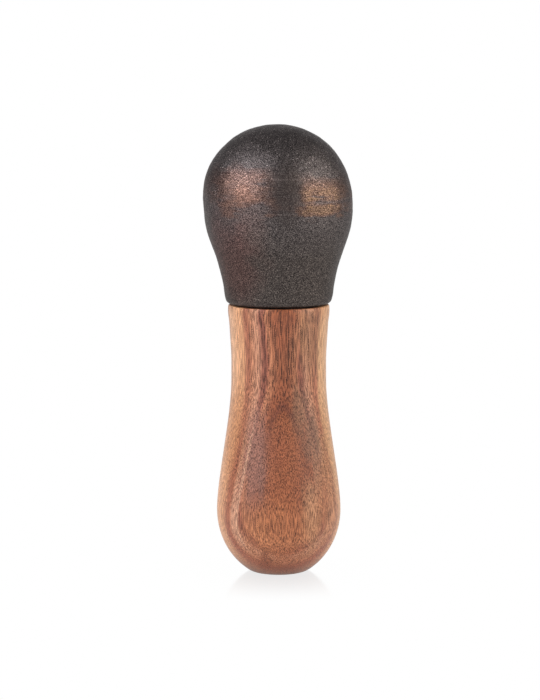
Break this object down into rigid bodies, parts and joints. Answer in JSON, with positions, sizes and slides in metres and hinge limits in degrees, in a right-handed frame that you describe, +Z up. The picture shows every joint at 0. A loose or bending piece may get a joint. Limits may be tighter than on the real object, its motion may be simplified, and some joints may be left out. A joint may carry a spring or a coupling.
{
  "type": "pestle",
  "caption": "Pestle with a ball-shaped cast iron grinding head screwed on a turned hardwood handle with a waisted grip and a flat foot to stand on.",
  "frame": {"origin": "centre of the flat foot under the handle", "axes": "+Z up the turning axis, from the foot to the crown of the head; -Y faces the camera of the picture"},
  "size_m": [0.0506, 0.0506, 0.1504],
  "materials": {
    "iron": "sand cast, seasoned, dark with a copper brown sheen",
    "wood": "turned acacia, sanded and oiled, satin",
    "gasket": "matt black",
    "stud": "zinc plated",
    "insert": "turned"
  },
  "bodies": {
    "root": {"iron_head": "iron", "wood_handle": "wood", "joint_gasket": "gasket", "threaded_stud": "stud", "threaded_insert": "insert"}
  },
  "joints": []
}
